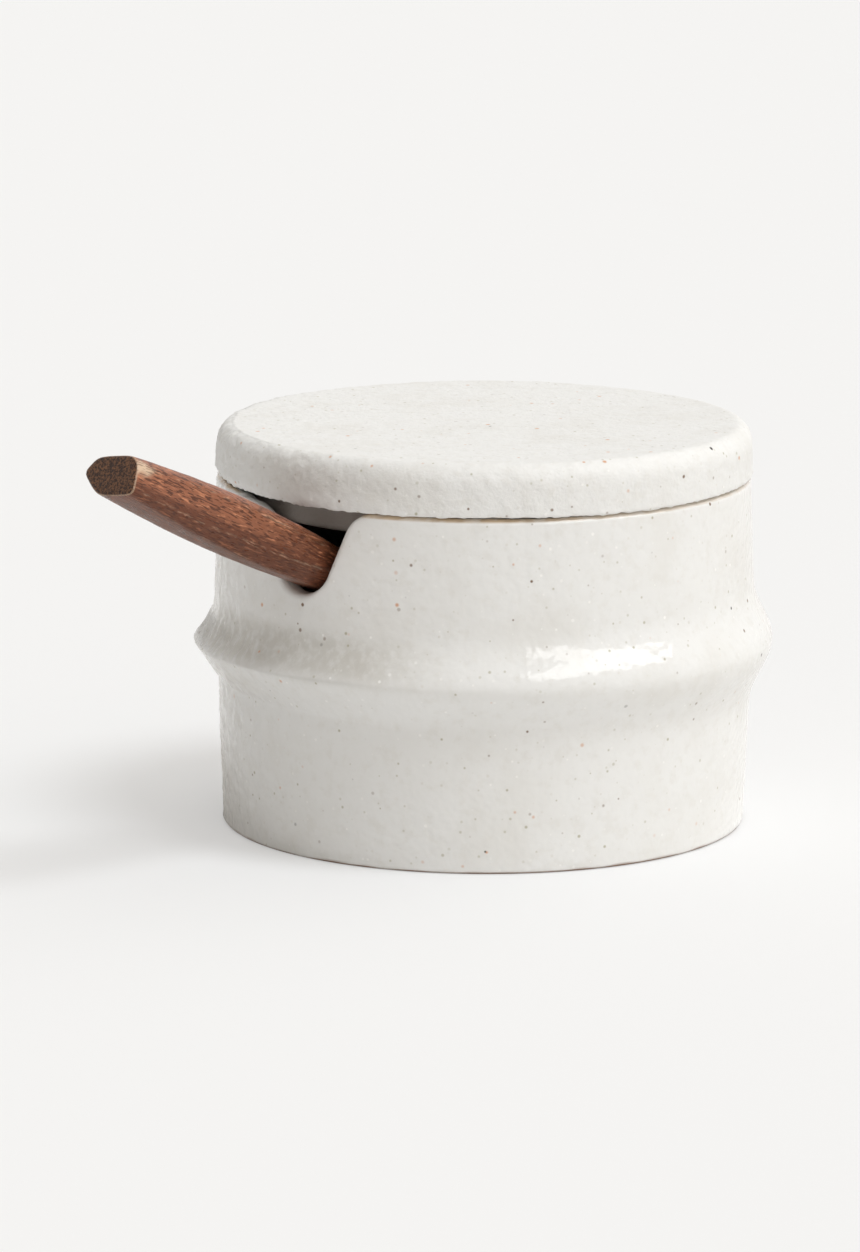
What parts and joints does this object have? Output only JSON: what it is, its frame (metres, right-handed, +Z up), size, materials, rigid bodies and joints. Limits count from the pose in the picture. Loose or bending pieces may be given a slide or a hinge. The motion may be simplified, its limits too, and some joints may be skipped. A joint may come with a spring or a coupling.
{
  "type": "salt pig",
  "caption": "Squat round stoneware salt pig with a raised ring round its wall, a lift-off disc lid and a wooden spoon leaning in a rim notch.",
  "frame": {"origin": "centre of the foot ring's lower face, on the surface that the jar stands on", "axes": "+Z up along the jar's axis; -Y is the front; +X is to the right seen from the front; the notch and the spoon are 42 degrees round from the front towards -X"},
  "size_m": [0.1253, 0.1322, 0.0814],
  "materials": {
    "jar_glaze": "semi-gloss off-white glaze with fine specks and a slightly pitted skin",
    "lid_glaze": "satin off-white glaze with fine specks and a sandy skin",
    "walnut": "oiled reddish-brown walnut with fine grain"
  },
  "bodies": {
    "jar": {"jar": "jar_glaze"},
    "lid": {"lid": "lid_glaze"},
    "spoon": {"spoon": "walnut"}
  },
  "joints": [
    {"name": "lid_lift", "type": "slide", "parent": "jar", "child": "lid", "axis": [0, 0, 1], "range_m": [0, 0.06]},
    {"name": "spoon_tilt", "type": "hinge", "parent": "jar", "child": "spoon", "pos_m": [-0.03225, -0.03582, 0.0458], "axis": [0.7431, -0.6691, 0], "range_deg": [0, 15]}
  ]
}
